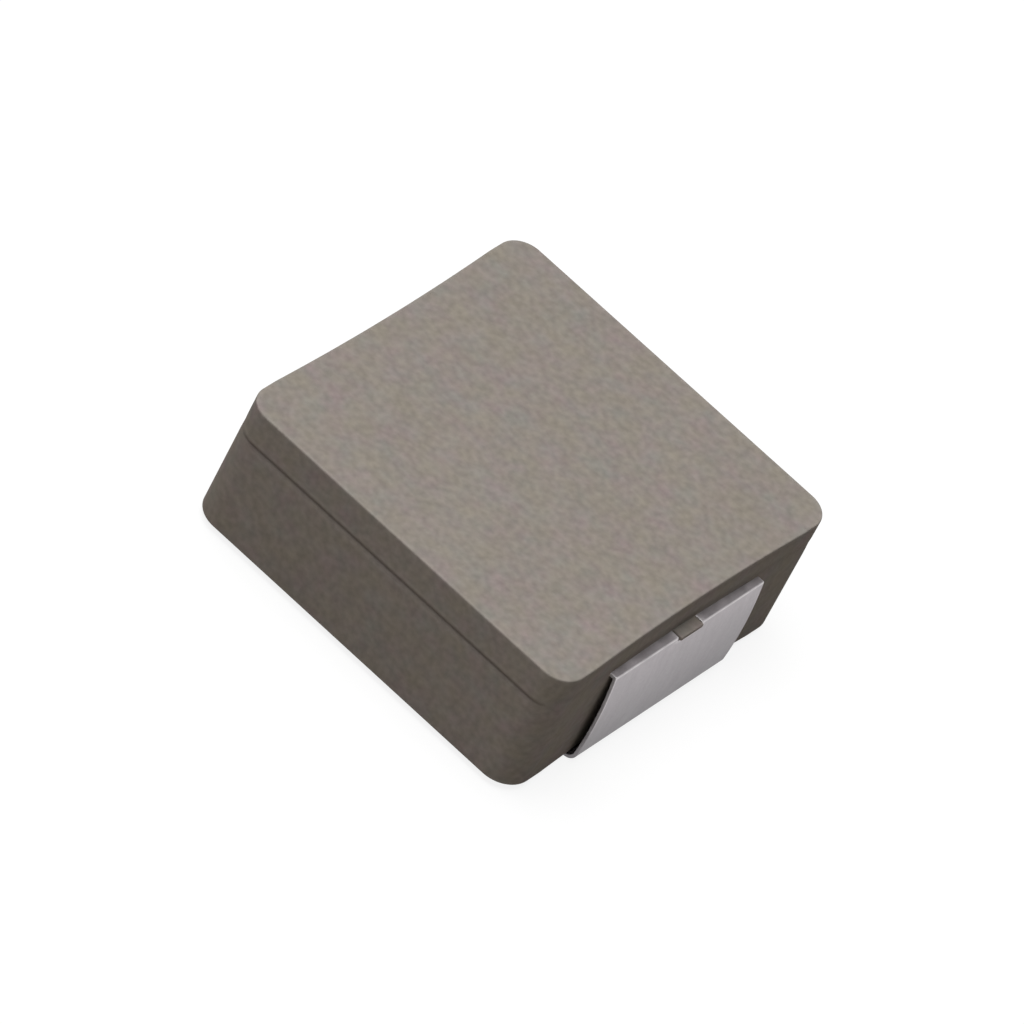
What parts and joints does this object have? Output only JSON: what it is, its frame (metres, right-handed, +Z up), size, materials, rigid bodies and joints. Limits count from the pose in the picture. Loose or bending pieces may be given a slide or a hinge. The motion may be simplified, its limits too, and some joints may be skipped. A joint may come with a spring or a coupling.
{
  "type": "shielded smd inductor",
  "caption": "Moulded shielded surface-mount power inductor: a square pressed-powder block round a flat-wire coil, with tinned strip terminals folded down its ends and under its base.",
  "frame": {"origin": "on the board plane, where the undersides of the two feet lie, under the centre of the block", "axes": "+Z up from the board to the pick-up face, +X from the left terminal to the right terminal, +Y along the width"},
  "size_m": [0.0132, 0.013, 0.0047],
  "materials": {
    "pressed_powder": "matte grey-brown pressed iron powder and resin with a fine grain",
    "enamelled_copper": "flat copper wire under clear enamel",
    "tinned_copper": "satin tin plating on copper strip, slightly mottled"
  },
  "bodies": {
    "root": {"molded_body": "pressed_powder", "coil": "enamelled_copper", "terminal_left": "tinned_copper", "terminal_right": "tinned_copper"}
  },
  "joints": []
}
